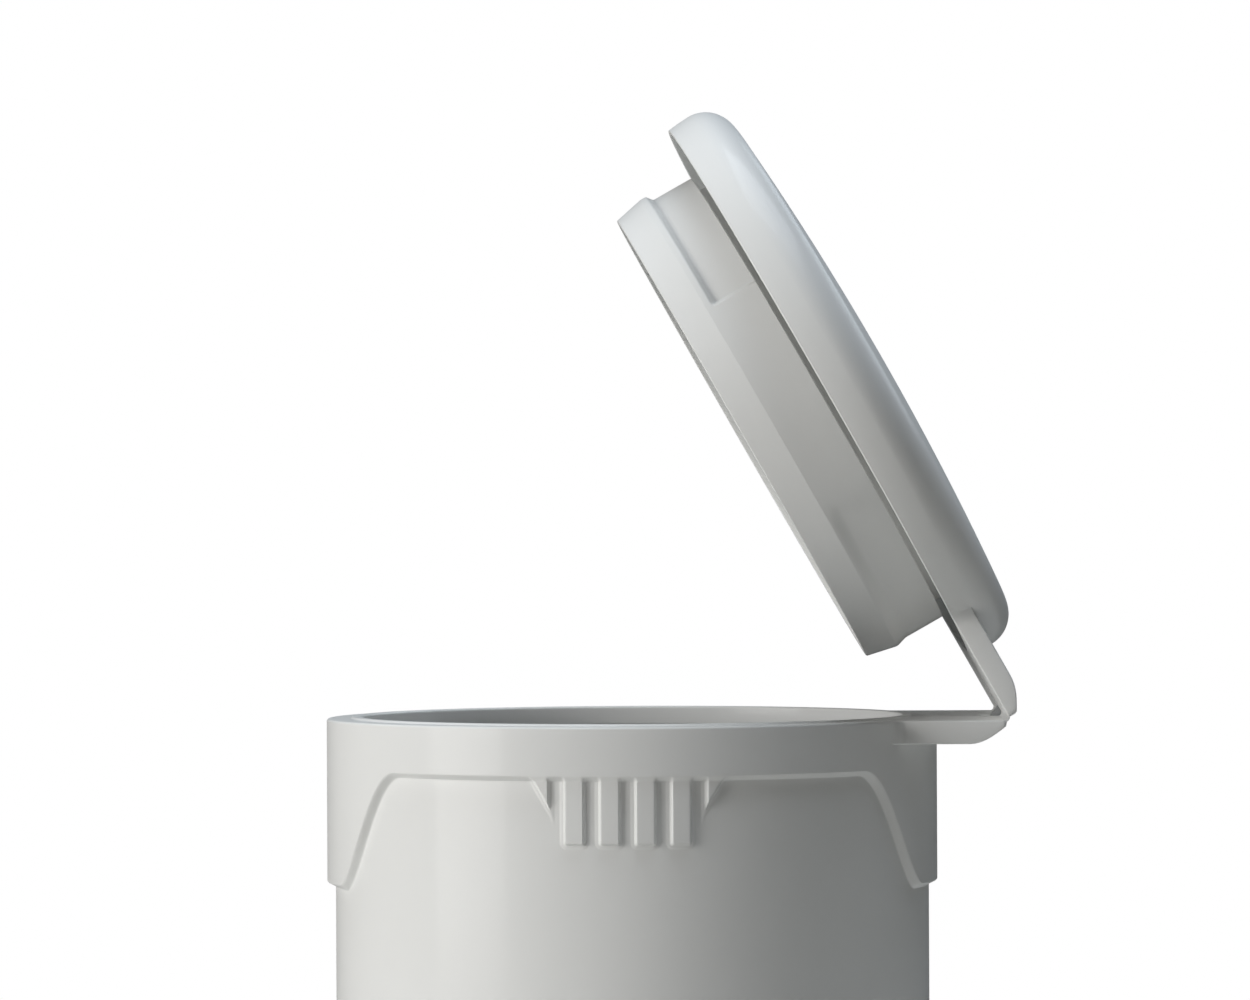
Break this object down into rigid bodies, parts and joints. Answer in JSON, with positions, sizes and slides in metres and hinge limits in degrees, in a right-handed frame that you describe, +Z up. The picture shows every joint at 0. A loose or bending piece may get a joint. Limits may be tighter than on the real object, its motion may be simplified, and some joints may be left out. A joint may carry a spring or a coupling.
{
  "type": "pedal trash can",
  "caption": "Round white pedal bin with a flip lid on a moulded hinge line, a plug ring under the lid, a ribbed collar, a lift-out bucket and a hidden pedal linkage.",
  "frame": {"origin": "on the floor, on the axis of the round body", "axes": "+Z up along the body's axis, +X towards the lid hinge, -X towards the pedal, +Y to the left of someone at the hinge looking at the pedal"},
  "size_m": [0.3114, 0.25, 0.6476],
  "materials": {
    "white_plastic": "smooth satin-gloss white moulding",
    "grey_plastic": "fine matt dark grey moulding",
    "bucket_plastic": "satin mid grey moulding",
    "steel": "zinc-plated pressed steel",
    "rubber": "matt black rubber"
  },
  "bodies": {
    "root": {"body_shell": "white_plastic", "base_ring": "grey_plastic", "base_plate": "grey_plastic", "foot_1": "rubber", "foot_2": "rubber", "foot_3": "rubber", "foot_4": "rubber", "base_screw_1": "steel", "base_screw_2": "steel", "base_screw_3": "steel", "base_screw_4": "steel", "bucket_stand": "grey_plastic", "inner_bucket": "bucket_plastic", "hinge_film_left": "white_plastic", "hinge_film_right": "white_plastic", "crank_bracket": "steel", "bracket_screw_1": "steel", "bracket_screw_2": "steel", "rod_guide": "grey_plastic", "shelf_cover": "white_plastic", "cover_screw_1": "steel", "cover_screw_2": "steel", "axle_bracket_left": "steel", "axle_bracket_right": "steel", "axle_screw_1": "steel", "axle_screw_2": "steel", "axle_screw_3": "steel", "axle_screw_4": "steel", "pedal_axle": "steel", "axle_clip_left": "steel", "axle_clip_right": "steel"},
    "lid": {"lid_shell": "white_plastic", "lid_plug": "white_plastic", "plug_screw_1": "steel", "plug_screw_2": "steel", "plug_screw_3": "steel", "plug_screw_4": "steel", "lid_crank": "steel", "crank_screw_1": "steel", "crank_screw_2": "steel", "link_pin_front": "steel"},
    "bell_crank": {"bell_crank": "steel", "link_pin_rear": "steel", "rod_pin": "steel", "crank_clip": "steel"},
    "pull_link": {"pull_link": "steel"},
    "push_rod": {"push_rod": "steel"},
    "pedal": {"pedal_lever": "steel", "pedal_tread": "rubber"}
  },
  "joints": [
    {"name": "lid_hinge", "type": "hinge", "parent": "root", "child": "lid", "pos_m": [0.152, 0, 0.4002], "axis": [0, 1, 0], "range_deg": [-60.4, 0]},
    {"name": "bell_crank_turn", "type": "hinge", "parent": "root", "child": "bell_crank", "pos_m": [0.1185, 0, 0.378], "axis": [0, 1, 0], "range_deg": [-60.4, 0]},
    {"name": "link_swing", "type": "hinge", "parent": "bell_crank", "child": "pull_link", "pos_m": [0.11415, 0, 0.37553], "axis": [0, 1, 0], "range_deg": [0, 60.4]},
    {"name": "rod_slide", "type": "slide", "parent": "root", "child": "push_rod", "axis": [0, 0, 1], "range_m": [-0.00604, 0]},
    {"name": "pedal_press", "type": "hinge", "parent": "root", "child": "pedal", "pos_m": [0.067, 0, 0.026], "axis": [0, 1, 0], "range_deg": [0, 7.56]}
  ],
  "couplings": [
    {"joint": "bell_crank_turn", "follows": "lid_hinge", "ratio": 1},
    {"joint": "link_swing", "follows": "lid_hinge", "ratio": -1},
    {"joint": "rod_slide", "follows": "lid_hinge", "m_per_rad": 0.005726},
    {"joint": "pedal_press", "follows": "lid_hinge", "ratio": -0.1251}
  ]
}
